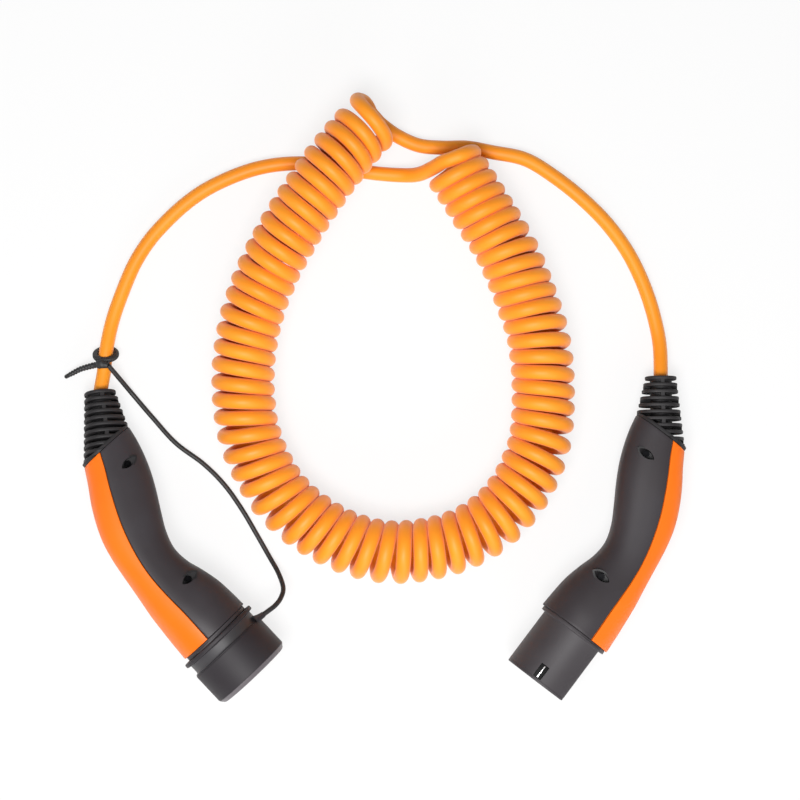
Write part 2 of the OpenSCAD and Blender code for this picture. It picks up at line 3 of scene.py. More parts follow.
import bmesh
import bpy
from mathutils import Matrix, Vector, noise


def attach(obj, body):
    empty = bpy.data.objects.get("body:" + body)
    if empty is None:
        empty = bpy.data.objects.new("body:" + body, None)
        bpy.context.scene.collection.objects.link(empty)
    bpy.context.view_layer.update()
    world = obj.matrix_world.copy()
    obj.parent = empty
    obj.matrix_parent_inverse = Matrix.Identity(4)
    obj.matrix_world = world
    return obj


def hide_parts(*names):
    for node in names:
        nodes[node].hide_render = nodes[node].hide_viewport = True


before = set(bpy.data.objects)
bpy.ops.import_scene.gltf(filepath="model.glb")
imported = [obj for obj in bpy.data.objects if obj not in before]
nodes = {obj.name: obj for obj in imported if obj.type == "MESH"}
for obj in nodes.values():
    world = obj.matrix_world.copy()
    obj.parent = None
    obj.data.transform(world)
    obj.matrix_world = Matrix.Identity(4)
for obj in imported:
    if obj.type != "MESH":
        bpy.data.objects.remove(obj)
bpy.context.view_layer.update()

# Lengths below are in millimetres, and become metres when a mesh is made
MM = 0.001

# Driving sizes, as in the part's source
CABLE_R = 6.1
COIL_R = 27.2
TETHER_R = 2.1
NOSE_R = 31.5
NOSE_FLAT = 23.5
NOSE_WALL = 3.0
CAR_NOSE_LEN = 55.5
STATION_NOSE_LEN = 45.0
FLANGE_T = 3.2
SHELL_WALL = 2.6
COVER_T = 2.6
COVER_SHARE = 0.43
SEAM = 0.3
RIB_T = 2.9
BOOT_WALL = 3.3
WEB_T = 3.2
CAP_FIT = 0.3
CAP_R = NOSE_R + CAP_FIT + 4.5
CAP_RIM_R = CAP_R + 0.7
CAP_FRONT = 4.4
COLLAR_R = 32.5
LAY = CABLE_R
LIFT = 2 * CABLE_R + 0.6

# Places of the plugs: x, y, height of the axis, heading, lift of the nose, roll
CAR_PLACE = (159.6, -76.3, 32.48, 232.7, 3.59, 3)
STATION_PLACE = (-145, -78.5, 36.54, -46.9, -0.38, 159)

# Handle at even steps back from the nose: edge at the back, edge at the palm, half depth
HANDLE_STEP = 15
HANDLE_LEN = 177
HANDLE = (
    (34.6, -33.0, 32.5), (33.6, -32.2, 31.6), (32.3, -30.7, 29.4), (30.8, -27.2, 26.6),
    (28.5, -22.9, 24.2), (26.3, -22.3, 22.6), (24.2, -27.2, 21.8), (21.6, -35.6, 21.4),
    (17.6, -44.6, 21.2), (11.2, -52.6, 21.0), (2.9, -58.8, 20.6), (-7.1, -63.4, 19.9),
    (-16.3, -66.4, 19.2))
SQUARE_FRONT = 2.0
SQUARE_GRIP = 2.4

# Boot axis
BOOT_END = Vector((-216.6, -68.9, 0))
BOOT_ANGLE = math.radians(37.3)
BOOT_IN = Vector((math.cos(BOOT_ANGLE), math.sin(BOOT_ANGLE), 0))
BOOT_END_R = 13.2
BOOT_BACK_TAPER = 0.107
BOOT_PALM_TAPER = 0.243
BOOT_DEPTH_TAPER = 0.12
BOOT_SQUARE = 2.3
BOOT_ROWS = 11
JACKET_END = 82

# Screw pockets
SCREW_SPOTS = ((-47.7, -8.7), (-154, -40))
POCKET_LONG = 15.5
POCKET_WIDE = 7.0
POCKET_DEEP = 8.0
POCKET_WALL = 1.6
RAMP_TOP = 1.2
RAMP_PAST = 0.5

# Routes of the cords, as in the part's source
LEAD_STATION_ROUTE = (
    (-243, 141, 10.6), (-241, 160, 10), (-237, 182, LAY + 1), (-230, 204, LAY),
    (-218, 233, LAY), (-205, 254, LAY), (-191, 270, LAY), (-175, 285, LAY), (-157, 298, LAY),
    (-135, 309, LAY), (-112, 317, LAY), (-88, 321, LAY), (-62, 321, LAY), (-36, 317, LAY),
    (-10, 313, LAY), (14, 311, LAY + 2), (28, 311, LAY + 10), (40, 315, LAY + 23),
    (49, 319, LAY + 35))
LEAD_CAR_ROUTE = (
    (8, 346, LAY), (28, 337, LAY), (49, 335, LAY), (70, 335, LAY), (92, 331, LAY),
    (120, 325, LAY), (145, 310, LAY), (169, 291, LAY), (190, 270, LAY), (207, 247, LAY),
    (219, 224, LAY), (228, 200, LAY), (234, 176, LAY + 1), (236, 158, LAY + 4))
COIL_ROUTE = (
    (60, 313, COIL_R), (83, 277, COIL_R), (103, 244, COIL_R), (118, 208, COIL_R),
    (130, 170, COIL_R), (134, 129, COIL_R), (132, 87, COIL_R), (123, 58, COIL_R),
    (107, 31, COIL_R), (85, 10, COIL_R), (58, -4, COIL_R), (28, -11, COIL_R),
    (-2, -12, COIL_R), (-31, -5, COIL_R), (-57, 8, COIL_R), (-81, 26, COIL_R),
    (-100, 50, COIL_R), (-117, 89, COIL_R), (-122, 137, COIL_R), (-116, 183, COIL_R + 1),
    (-102, 223, COIL_R + LIFT / 3), (-84, 257, COIL_R + LIFT * 0.75), (-63, 290, COIL_R + LIFT),
    (-40, 322, COIL_R + LIFT), (-15, 352, COIL_R + LIFT / 2))
TURNS = 64
TURN_R = CABLE_R + 0.2
COIL_RUN_IN = 8.0
COIL_RUN_OUT = 10.0
COIL_OUT_WAY = Vector((0.78, 0.62, -0.1))
TETHER_ROUTE = (
    (-238, 147, 19.6), (-230, 136.5, 12), (-219, 122, TETHER_R + 1), (-202, 102, TETHER_R),
    (-182, 80, TETHER_R), (-158, 62, TETHER_R), (-140, 44, TETHER_R), (-125, 23, TETHER_R),
    (-112, 1, TETHER_R), (-101, -18, 4), (-93, -31, 11), (-88, -43, 22), (-89.5, -51, 30),
    (-94, -57, 36), (-100, -61.5, 40.5), (-105, -65, 43))
STRAP_MID = Vector((-241.4, 156.5, 10.1))
STRAP_TILT = math.radians(34)
STRAP_HEAD = Vector((-244.6, 148.2, 18))
STRAP_TAIL = Vector((-278, 136.8, 2.2))
STRAP_R = 2.0
STRAP_LOOP_R = CABLE_R + STRAP_R + 1.1
STRAP_TEETH = 9
STRAP_RIDGE = 0.22
STRAP_TAIL_ROUTE = (STRAP_HEAD, (-254, 146.4, 13.4), (-263.5, 143.8, 9), (-271, 140.3, 5.3), STRAP_TAIL)


# Curves

def blend(a, b, c, d, t):
    """Point between b and c on a smooth curve, with a and d as the points beside them."""
    return 0.5 * (2 * b + (c - a) * t + (2 * a - 5 * b + 4 * c - d) * t * t
                  + (3 * b - a - 3 * c + d) * t * t * t)


def through(points, step):
    """Points about step apart on the smooth curve through the given ones."""
    points = [Vector(p) for p in points]
    first = 2 * points[0] - points[1]
    last = 2 * points[-1] - points[-2]
    padded = [first] + points + [last]
    fine = []
    for i in range(len(points) - 1):
        a, b, c, d = padded[i:i + 4]
        count = max(8, int((c - b).length / 0.5))
        fine += [blend(a, b, c, d, k / count) for k in range(count)]
    fine.append(points[-1])
    return spaced(fine, step)


def spaced(line, step):
    """The same line with its points evenly spaced."""
    lengths = [0.0]
    for a, b in zip(line, line[1:]):
        lengths.append(lengths[-1] + (b - a).length)
    count = max(2, round(lengths[-1] / step))
    out, i = [], 0
    for k in range(count + 1):
        want = lengths[-1] * k / count
        while i < len(line) - 2 and lengths[i + 1] < want:
            i += 1
        share = (want - lengths[i]) / max(1e-9, lengths[i + 1] - lengths[i])
        out.append(line[i].lerp(line[i + 1], share))
    return out


def length_of(line):
    """Length of a line of points."""
    return sum((b - a).length for a, b in zip(line, line[1:]))


def direction(line, i):
    """Way in which the line runs at its point i."""
    return (line[min(i + 1, len(line) - 1)] - line[max(i - 1, 0)]).normalized()


def smoothstep(t):
    """Soft change from 0 to 1."""
    t = min(1.0, max(0.0, t))
    return t * t * (3 - 2 * t)


# Places of the plugs

def place_matrix(place):
    """Matrix from a plug's own frame, in which +x runs out of its nose, to the scene."""
    x, y, z, heading, lift, roll = place
    return (Matrix.Translation((x, y, z)) @ Matrix.Rotation(math.radians(heading), 4, "Z")
            @ Matrix.Rotation(-math.radians(lift), 4, "Y") @ Matrix.Rotation(math.radians(roll), 4, "X"))


CAR = place_matrix(CAR_PLACE)
STATION = place_matrix(STATION_PLACE)
PLUGS = (("car", CAR), ("station", STATION))
NOSES = (("car", CAR, CAR_NOSE_LEN), ("station", STATION, STATION_NOSE_LEN))


# Meshes

def new_object(name, points, faces, sharp=35):
    """Object from points in millimetres, smooth but for edges sharper than the angle."""
    mesh = bpy.data.meshes.new(name)
    mesh.from_pydata([Vector(p) * MM for p in points], [], faces)
    mesh.validate()
    obj = bpy.data.objects.new(name, mesh)
    bpy.context.scene.collection.objects.link(obj)
    outward(obj)
    shade(obj, sharp)
    return obj


def outward(obj):
    """Turns all faces outward."""
    bm = bmesh.new()
    bm.from_mesh(obj.data)
    bmesh.ops.recalc_face_normals(bm, faces=bm.faces)
    bm.to_mesh(obj.data)
    bm.free()


def shade(obj, sharp):
    """Smooth shading, but for edges sharper than the angle in degrees."""
    bm = bmesh.new()
    bm.from_mesh(obj.data)
    limit = math.radians(sharp)
    for face in bm.faces:
        face.smooth = True
    for edge in bm.edges:
        edge.smooth = len(edge.link_faces) == 2 and edge.calc_face_angle(0.0) < limit
    bm.to_mesh(obj.data)
    bm.free()


def moved(obj, matrix, name):
    """A placed copy of an object that was made in a plug's own frame."""
    scaled = matrix.copy()
    scaled.translation = scaled.translation * MM
    mesh = obj.data.copy()
    mesh.name = name
    mesh.transform(scaled)
    if matrix.determinant() < 0:
        mesh.flip_normals()
    copy = bpy.data.objects.new(name, mesh)
    bpy.context.scene.collection.objects.link(copy)
    return copy


def loft(name, rings, caps=True, sharp=35):
    """Surface through rings that have the same number of points; without caps it closes on itself."""
    n, m = len(rings[0]), len(rings)
    points = [p for ring in rings for p in ring]
    last = m - 1 if caps else m
    faces = [(i * n + j, i * n + (j + 1) % n, (i + 1) % m * n + (j + 1) % n, (i + 1) % m * n + j)
             for i in range(last) for j in range(n)]
    if caps:
        faces.append(tuple(range(n)))
        faces.append(tuple(range((m - 1) * n, m * n)))
    return new_object(name, points, faces, sharp)


def tube(name, line, radius, sides):
    """Round tube along a line, with frames carried along it; radius is a number or a function."""
    side = direction(line, 0).cross(Vector((0, 0, 1)))
    if side.length < 0.1:
        side = Vector((1, 0, 0))
    side.normalize()
    rings = []
    for i, p in enumerate(line):
        way = direction(line, i)
        side = (side - way * side.dot(way)).normalized()
        up = way.cross(side)
        r = radius(i / (len(line) - 1)) if callable(radius) else radius
        rings.append([p + r * (math.cos(a) * side + math.sin(a) * up)
                      for a in (2 * math.pi * k / sides for k in range(sides))])
    return loft(name, rings)


def revolve(name, profile, axis_y, sides=96, sharp=30):
    """Turned solid round a line along x; the profile is x and radius, and starts and ends on the axis."""
    points = [Vector((profile[0][0], axis_y, 0)), Vector((profile[-1][0], axis_y, 0))]
    inner = profile[1:-1]
    for x, r in inner:
        points += [Vector((x, axis_y + r * math.cos(a), r * math.sin(a)))
                   for a in (2 * math.pi * k / sides for k in range(sides))]
    faces = []
    for k in range(sides):
        nxt = (k + 1) % sides
        faces.append((0, 2 + nxt, 2 + k))
        base = 2 + (len(inner) - 1) * sides
        faces.append((1, base + k, base + nxt))
        for i in range(len(inner) - 1):
            a = 2 + i * sides
            faces.append((a + k, a + nxt, a + sides + nxt, a + sides + k))
    return new_object(name, points, faces, sharp)


def box_object(name, low, high, matrix=None):
    """Box between two corners, placed by the matrix."""
    corners = [Vector((x, y, z)) for x in (low[0], high[0]) for y in (low[1], high[1])
               for z in (low[2], high[2])]
    if matrix:
        corners = [matrix @ c for c in corners]
    faces = [(0, 1, 3, 2), (4, 6, 7, 5), (0, 4, 5, 1), (2, 3, 7, 6), (0, 2, 6, 4), (1, 5, 7, 3)]
    return new_object(name, corners, faces)


def joined(objects, name):
    """One object with the meshes of several that lie apart."""
    bm = bmesh.new()
    for obj in objects:
        bm.from_mesh(obj.data)
    mesh = bpy.data.meshes.new(name)
    bm.to_mesh(mesh)
    bm.free()
    for obj in objects:
        bpy.data.objects.remove(obj)
    piece = bpy.data.objects.new(name, mesh)
    bpy.context.scene.collection.objects.link(piece)
    return piece


def boolean(obj, tool, operation):
    """Cuts, joins or keeps the common part, and removes the tool."""
    modifier = obj.modifiers.new("shape", "BOOLEAN")
    modifier.object = tool
    modifier.operation = operation
    modifier.solver = "MANIFOLD"
    bpy.context.view_layer.update()
    graph = bpy.context.evaluated_depsgraph_get()
    made = bpy.data.meshes.new_from_object(obj.evaluated_get(graph))
    obj.modifiers.clear()
    obj.data = made
    bpy.data.objects.remove(tool)
    return obj


def soften(outline, corners, steps=3):
    """Rounds the outline's chosen corners: corners maps a point's index to its radius."""
    out, n = [], len(outline)
    for i, p in enumerate(outline):
        if i not in corners:
            out.append(p)
            continue
        r = corners[i]
        before = p + (outline[i - 1] - p).normalized() * r
        after = p + (outline[(i + 1) % n] - p).normalized() * r
        for k in range(steps + 1):
            t = k / steps
            out.append(before.lerp(p, t).lerp(p.lerp(after, t), t))
    return out


def rounded_box(name, size, edge, matrix):
    """Box with rounded edges, centred on the matrix's origin."""
    obj = box_object(name, [-s / 2 for s in size], [s / 2 for s in size])
    bm = bmesh.new()
    bm.from_mesh(obj.data)
    bmesh.ops.bevel(bm, geom=bm.edges[:], offset=edge * MM, segments=3, affect="EDGES", profile=0.5)
    bm.to_mesh(obj.data)
    bm.free()
    shade(obj, 50)
    made = moved(obj, matrix, name)
    bpy.data.objects.remove(obj)
    return made


# Materials

def linear(red, green, blue):
    """Shader colour from the eight-bit colour that it should look like."""
    return tuple(((c / 255) / 12.92 if c / 255 <= 0.04045 else ((c / 255 + 0.055) / 1.055) ** 2.4)
                 for c in (red, green, blue)) + (1.0,)


def node(tree, kind, **values):
    """New shader node with its inputs or settings."""
    made = tree.nodes.new(kind)
    for key, value in values.items():
        if key in made.inputs:
            made.inputs[key].default_value = value
        else:
            setattr(made, key, value)
    return made


def grained(name, color, tone, rough, rough_swing, grain, depth, patch, **shader):
    """Moulded or drawn material: two tones in soft patches, which also swing the roughness, and a
    fine grain in bump. grain is the grain's size, depth the bump's depth and patch the patches'
    size, all in millimetres."""
    material = bpy.data.materials.new(name)
    material.use_nodes = True
    tree = material.node_tree
    principled = tree.nodes["Principled BSDF"]
    for key, value in shader.items():
        principled.inputs[key.replace("_", " ")].default_value = value
    place = node(tree, "ShaderNodeTexCoord")
    patches = node(tree, "ShaderNodeTexNoise", Scale=1 / (patch * MM), Detail=3.0, Roughness=0.5)
    tree.links.new(place.outputs["Object"], patches.inputs["Vector"])
    ramp = node(tree, "ShaderNodeValToRGB")
    ramp.color_ramp.elements[0].position = 0.35
    ramp.color_ramp.elements[0].color = tone
    ramp.color_ramp.elements[1].position = 0.65
    ramp.color_ramp.elements[1].color = color
    tree.links.new(patches.outputs["Fac"], ramp.inputs["Fac"])
    tree.links.new(ramp.outputs["Color"], principled.inputs["Base Color"])
    fine = node(tree, "ShaderNodeTexNoise", Scale=1 / (grain * MM), Detail=2.0, Roughness=0.6)
    tree.links.new(place.outputs["Object"], fine.inputs["Vector"])
    bump = node(tree, "ShaderNodeBump", Strength=0.35, Distance=depth * MM)
    tree.links.new(fine.outputs["Fac"], bump.inputs["Height"])
    tree.links.new(bump.outputs["Normal"], principled.inputs["Normal"])
    spread = node(tree, "ShaderNodeMapRange")
    spread.inputs["From Min"].default_value = 0.3
    spread.inputs["From Max"].default_value = 0.7
    spread.inputs["To Min"].default_value = rough - rough_swing
    spread.inputs["To Max"].default_value = rough + rough_swing
    tree.links.new(patches.outputs["Fac"], spread.inputs["Value"])
    tree.links.new(spread.outputs["Result"], principled.inputs["Roughness"])
    return material


def brushed(name, color, rough, streak):
    """Machined or rolled metal with fine streaks."""
    return grained(name, color, color, rough, 0.06, streak, 0.02, 6.0, Metallic=1.0)


cable_jacket = grained("cable_jacket", linear(255, 156, 24), linear(253, 149, 20),
                       0.5, 0.05, 0.45, 0.03, 60,
                       Sheen_Weight=0.6, Sheen_Roughness=0.45, Sheen_Tint=(1.0, 0.62, 0.5, 1.0),
                       Specular_IOR_Level=0.45)
cover_plastic = grained("cover_plastic", linear(255, 120, 10), linear(252, 114, 8),
                        0.45, 0.04, 0.5, 0.02, 80, Specular_IOR_Level=0.35)
handle_plastic = grained("handle_plastic", linear(57, 53, 57), linear(53, 48, 51), 0.5, 0.05, 0.4, 0.03, 50,
                         Specular_IOR_Level=0.4)
# Darker copy of the handle's plastic for the screw pockets' walls and ramps: painted shade in the recesses
pocket_painted_shade = grained("pocket_painted_shade", linear(30, 28, 30), linear(25, 23, 25),
                         0.45, 0.05, 0.4, 0.03, 20)
nose_plastic = grained("nose_plastic", linear(66, 62, 65), linear(61, 57, 60), 0.54, 0.05, 0.4, 0.03, 40,
                       Specular_IOR_Level=0.4)
boot_rubber = grained("boot_rubber", linear(38, 36, 38), linear(33, 31, 33), 0.6, 0.06, 0.5, 0.03, 30)
cap_rubber = grained("cap_rubber", linear(44, 40, 44), linear(40, 35, 39), 0.58, 0.06, 0.5, 0.04, 45,
                     Specular_IOR_Level=0.4)
# Lighter copy of the cap's rubber for its neck: painted light
neck_painted_light = grained("neck_painted_light", linear(60, 58, 61), linear(54, 52, 54), 0.5, 0.06, 0.5, 0.04, 45)
# Much lighter copy of the cap's rubber for its front bevel: a painted highlight
bevel_painted_highlight = grained("bevel_painted_highlight", linear(98, 92, 96), linear(90, 84, 88), 0.4, 0.06, 0.5, 0.04, 45)
tether_rubber = grained("tether_rubber", linear(42, 41, 42), linear(36, 35, 36), 0.5, 0.05, 0.4, 0.02, 30)
carrier_plastic = grained("carrier_plastic", linear(34, 33, 35), linear(28, 27, 29),
                          0.55, 0.05, 0.4, 0.03, 20)
seal_rubber = grained("seal_rubber", linear(30, 30, 30), linear(24, 24, 24), 0.6, 0.05, 0.5, 0.02, 20)
silver_plate = brushed("silver_plate", linear(226, 222, 214), 0.22, 0.3)
bright_steel = brushed("bright_steel", linear(238, 238, 238), 0.3, 0.4)
dark_plate = grained("dark_plate", linear(9, 9, 10), linear(6, 6, 7), 0.6, 0.05, 0.3, 0.01, 6,
                     Specular_IOR_Level=0.2)
zinc_steel = brushed("zinc_steel", linear(170, 170, 172), 0.35, 0.4)
black_steel = brushed("black_steel", linear(26, 26, 28), 0.5, 0.4)
resistor_coat = grained("resistor_coat", linear(196, 160, 112), linear(180, 146, 100),
                        0.4, 0.05, 0.3, 0.01, 3)
core_coat = grained("core_coat", linear(90, 78, 66), linear(80, 70, 60), 0.5, 0.05, 0.4, 0.01, 8)
clamp_nylon = grained("clamp_nylon", linear(40, 40, 42), linear(34, 34, 36), 0.5, 0.05, 0.4, 0.02, 10)


def finish_piece(obj, material, slot, *replaced):
    """Gives a piece its material, hangs it from the root and hides the nodes in whose place it stands. The
    slot is not used.
    """
    obj.data.materials.clear()
    obj.data.materials.append(material)
    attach(obj, "root")
    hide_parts(*replaced)


# Camera, straight above the loop, and a soft studio

CAMERA_HEIGHT = 1800.0
VIEW_CENTRE = (11.9, 117.3)
VIEW_WIDTH = 680.0
VIEW_LEVEL = 33.0

camera_data = bpy.data.cameras.new("camera")
camera_data.sensor_width = 36.0
camera_data.lens = camera_data.sensor_width * (CAMERA_HEIGHT - VIEW_LEVEL) / VIEW_WIDTH
camera = bpy.data.objects.new("camera", camera_data)
camera.location = (VIEW_CENTRE[0] * MM, VIEW_CENTRE[1] * MM, CAMERA_HEIGHT * MM)
bpy.context.scene.collection.objects.link(camera)
bpy.context.scene.camera = camera
bpy.context.scene.view_settings.view_transform = "Standard"


def area_lamp(name, place, target, size, power):
    """Soft box with its place, target and size in metres and its power in watts."""
    data = bpy.data.lights.new(name, "AREA")
    data.shape = "RECTANGLE"
    data.size, data.size_y = size
    data.energy = power
    lamp = bpy.data.objects.new(name, data)
    lamp.location = place
    way = Vector(target) - Vector(place)
    lamp.rotation_euler = way.to_track_quat("-Z", "Y").to_euler()
    bpy.context.scene.collection.objects.link(lamp)


area_lamp("softbox_top", (-0.15, -0.38, 1.8), (0, 0.1, 0), (1.0, 0.8), 34)
area_lamp("softbox_front", (0.4, -1.6, 0.9), (0, 0.1, 0), (1.3, 0.6), 10)
area_lamp("softbox_left", (-1.6, -0.1, 0.75), (0, 0.1, 0), (1.0, 0.7), 2)
area_lamp("softbox_right", (1.6, -0.4, 0.75), (0, 0.1, 0), (1.0, 0.7), 1.5)

world = bpy.data.worlds.new("studio")
world.use_nodes = True
world_tree = world.node_tree
sky = world_tree.nodes["Background"]
sky.inputs["Color"].default_value = (1, 1, 1, 1)
sky.inputs["Strength"].default_value = 0.22
shown_sky = node(world_tree, "ShaderNodeBackground", Strength=1.0)
shown_sky.inputs["Color"].default_value = (1, 1, 1, 1)
ray = node(world_tree, "ShaderNodeLightPath")
sky_mix = node(world_tree, "ShaderNodeMixShader")
world_tree.links.new(ray.outputs["Is Camera Ray"], sky_mix.inputs["Fac"])
world_tree.links.new(sky.outputs["Background"], sky_mix.inputs[1])
world_tree.links.new(shown_sky.outputs["Background"], sky_mix.inputs[2])
world_tree.links.new(sky_mix.outputs["Shader"], world_tree.nodes["World Output"].inputs["Surface"])
bpy.context.scene.world = world

# Floor, just under the object: it glows for the camera alone, and keeps the shadow
FLOOR_SIDE = 6.0
FLOOR_Z = -0.0002
GLOW_SHARE = 0.78

floor_mesh = bpy.data.meshes.new("floor")
floor_corners = ((-1, -1), (1, -1), (1, 1), (-1, 1))
floor_mesh.from_pydata([(x * FLOOR_SIDE, y * FLOOR_SIDE, FLOOR_Z) for x, y in floor_corners],
                       [], [(0, 1, 2, 3)])
floor = bpy.data.objects.new("floor", floor_mesh)
bpy.context.scene.collection.objects.link(floor)
floor_paint = bpy.data.materials.new("floor_paint")
floor_paint.use_nodes = True
floor_tree = floor_paint.node_tree
floor_shader = floor_tree.nodes["Principled BSDF"]
floor_shader.inputs["Base Color"].default_value = (0.86, 0.86, 0.86, 1)
floor_shader.inputs["Roughness"].default_value = 0.9
glow = node(floor_tree, "ShaderNodeEmission", Strength=1.0)
glow.inputs["Color"].default_value = (1, 1, 1, 1)
floor_ray = node(floor_tree, "ShaderNodeLightPath")
share = node(floor_tree, "ShaderNodeMath", operation="MULTIPLY")
share.inputs[1].default_value = GLOW_SHARE
floor_mix = node(floor_tree, "ShaderNodeMixShader")
floor_tree.links.new(floor_ray.outputs["Is Camera Ray"], share.inputs[0])
floor_tree.links.new(share.outputs["Value"], floor_mix.inputs["Fac"])
floor_tree.links.new(floor_shader.outputs["BSDF"], floor_mix.inputs[1])
floor_tree.links.new(glow.outputs["Emission"], floor_mix.inputs[2])
floor_tree.links.new(floor_mix.outputs["Shader"], floor_tree.nodes["Material Output"].inputs["Surface"])
floor_mesh.materials.append(floor_paint)


# Orange cable: left lead, spiral and right lead on one line

# Points in a turn, and how much the turns differ in radius and in lean, with the change from turn
# to turn and the place in the noise for both
TURN_STEPS = 48
TURN_WOBBLE = 0.3
WOBBLE_RATE = 0.9
WOBBLE_PLACE = 3.1
TURN_LEAN = 0.8
LEAN_RATE = 0.7
LEAN_PLACE = 9.7
# Length of the axis on either side over which its bend is measured
BEND_REACH = 14
# Where the jacket starts to widen, counted from the cable's ends, and over which length it does
SPIRAL_FROM = 430
SPIRAL_EASE = 60
CORD_STEP = 3.1


def packed_turns(ways, turn_r):
    """How many turns have fitted, in any unit, up to each point of the spiral's axis."""
    headings = [math.atan2(way.y, way.x) for way in ways]
    last = len(ways) - 1
    packed = [0.0]
    for i in range(1, last + 1):
        a, b = max(0, i - BEND_REACH), min(last, i + BEND_REACH)
        swing = (headings[a] - headings[b] + math.pi) % (2 * math.pi) - math.pi
        bend = max(0.0, swing / (b - a))
        packed.append(packed[-1] + 1 - turn_r * bend)
    return packed


def spiral_line():
    """Middle line of the cable round the spiral. Each turn touches the next on the inside of a bend,
    so the turns open on the outside."""
    run_in = (Vector(COIL_ROUTE[0]) - Vector(COIL_ROUTE[1])).normalized() * COIL_RUN_IN
    run_out = COIL_OUT_WAY.normalized() * COIL_RUN_OUT
    axis = through([Vector(COIL_ROUTE[0]) + run_in, *COIL_ROUTE, Vector(COIL_ROUTE[-1]) + run_out], 1.0)
    ways = [direction(axis, i) for i in range(len(axis))]
    turn_r = COIL_R - TURN_R
    packed = packed_turns(ways, turn_r)
    end = 2 * math.pi * (TURNS + 0.5)
    phase = [end * p / packed[-1] for p in packed]
    line = []
    angle, i = 0.0, 0
    while angle <= end + 1e-6:
        while i < len(phase) - 2 and phase[i + 1] < angle:
            i += 1
        share = (angle - phase[i]) / (phase[i + 1] - phase[i])
        centre = axis[i].lerp(axis[i + 1], share)
        way = ways[i].lerp(ways[i + 1], share).normalized()
        aside = Vector((0, 0, 1)).cross(way).normalized()
        up = way.cross(aside)
        turn = angle / (2 * math.pi)
        r = turn_r + TURN_WOBBLE * noise.noise(Vector((turn * WOBBLE_RATE, WOBBLE_PLACE, 0.0)))
        lean = TURN_LEAN * noise.noise(Vector((turn * LEAN_RATE, LEAN_PLACE, 0.0)))
        point = centre + r * (math.cos(angle) * up + math.sin(angle) * aside)
        point += way * lean * math.sin(angle)
        point.z = max(point.z, TURN_R)
        line.append(point)
        angle += 2 * math.pi / TURN_STEPS
    return line


def boot_points(matrix):
    """Where the cable runs straight inside a plug, from the end of its jacket to the boot's end."""
    inside = [BOOT_END + BOOT_IN * t for t in (JACKET_END, 60, 40, 20, 3)]
    return [matrix @ p for p in inside]


def cable_line():
    """Whole cable: the leads run on into the spiral's ends, and what both hold there is left out once."""
    start = boot_points(STATION) + [Vector(p) for p in LEAD_STATION_ROUTE]
    end = [Vector(p) for p in LEAD_CAR_ROUTE] + list(reversed(boot_points(CAR)))
    spiral = spiral_line()
    lead_in = through(start + spiral[1:4], 3.0)
    lead_out = through(spiral[-4:-1] + end, 3.0)
    line = spaced(lead_in[:-4] + spiral[3:-3] + lead_out[4:], CORD_STEP)
    for point in line:
        point.z = max(point.z, CABLE_R)
    return line


def cable_radius(t):
    """The turns press on each other, so the jacket is a little wider along the spiral."""
    from_end = min(t, 1 - t) * CABLE_LONG
    return CABLE_R + (TURN_R - CABLE_R) * smoothstep((from_end - SPIRAL_FROM) / SPIRAL_EASE)


cable = cable_line()
CABLE_LONG = length_of(cable)
cable_piece = tube("charging_cable", cable, cable_radius, 20)
finish_piece(cable_piece, cable_jacket, "cable_jacket",
             "cable_lead_station", "spiral_coil", "cable_lead_car")


# Handle sections, as in the part's source

def handle_row(x):
    """Row of the handle's table at any place between its steps."""
    last = len(HANDLE) - 1
    i = min(int(x), last - 1)
    b, c = HANDLE[i], HANDLE[i + 1]
    a = HANDLE[i - 1] if i > 0 else tuple(2 * p - q for p, q in zip(b, c))
    d = HANDLE[i + 2] if i + 2 <= last else tuple(2 * q - p for p, q in zip(b, c))
    return [blend(*v, x - i) for v in zip(a, b, c, d)]


def section_at(x):
    """Middle, half width, half depth and exponent of the handle at a distance behind the nose."""
    x = x / HANDLE_STEP
    back, palm, depth = handle_row(x)
    return ((back + palm) / 2, (back - palm) / 2, depth, min(SQUARE_GRIP, SQUARE_FRONT + x / 8))


def sign_power(v, p):
    """Power of a number that keeps its sign."""
    return math.copysign(abs(v) ** p, v)


def rim(section, angle, inset):
    """Point on a section's outline, moved in by the inset."""
    middle, half, depth, power = section
    return Vector((middle + (half - inset) * sign_power(math.cos(angle), 2 / power),
                   (depth - inset) * sign_power(math.sin(angle), 2 / power)))


def arc(section, start, end, steps, inset):
    """Points on a section's outline between two angles."""
    return [rim(section, start + (end - start) * k / steps, inset) for k in range(steps + 1)]


def cover_angle(section):
    """Angle at which the back cover meets the shell."""
    return math.acos(COVER_SHARE ** (section[3] / 2))


def end_edges(length, radius, step):
    """Distances along a moulding with the inset that rounds its two ends."""
    rows = [(radius * (1 - math.cos(a)), radius * (1 - math.sin(a)))
            for a in (math.pi / 2 * k / 4 for k in range(5))]
    count = round((length - 2 * radius) / step)
    middle = [(radius + (length - 2 * radius) * k / count, 0.0) for k in range(1, count)]
    return rows + middle + [(length - x, inset) for x, inset in reversed(rows)]


# Angle past the ledge at which the shell's plain wall begins
LEDGE_ANGLE = 0.25
# Driver's way in the ramp, the screw's hole, and how far the pocket's cup stays below the skin
DRIVER_R = 3.2
SCREW_HOLE_R = 2.25
CUP_BELOW = 1.3
# How far the ramp reaches into the pocket's wall and floor
RAMP_IN_WALL = 0.05
RAMP_IN_FLOOR = 0.3
# How far a cutting tool reaches past the skin
PAST = 30
# Rounding of the moulding's ends and of its seams
EDGE_R = 0.6
SEAM_R = 0.5
# Angle by which the cover's edge stays back from the shell's, and the step between sections
COVER_GROOVE = 0.034
ALONG = 2.0


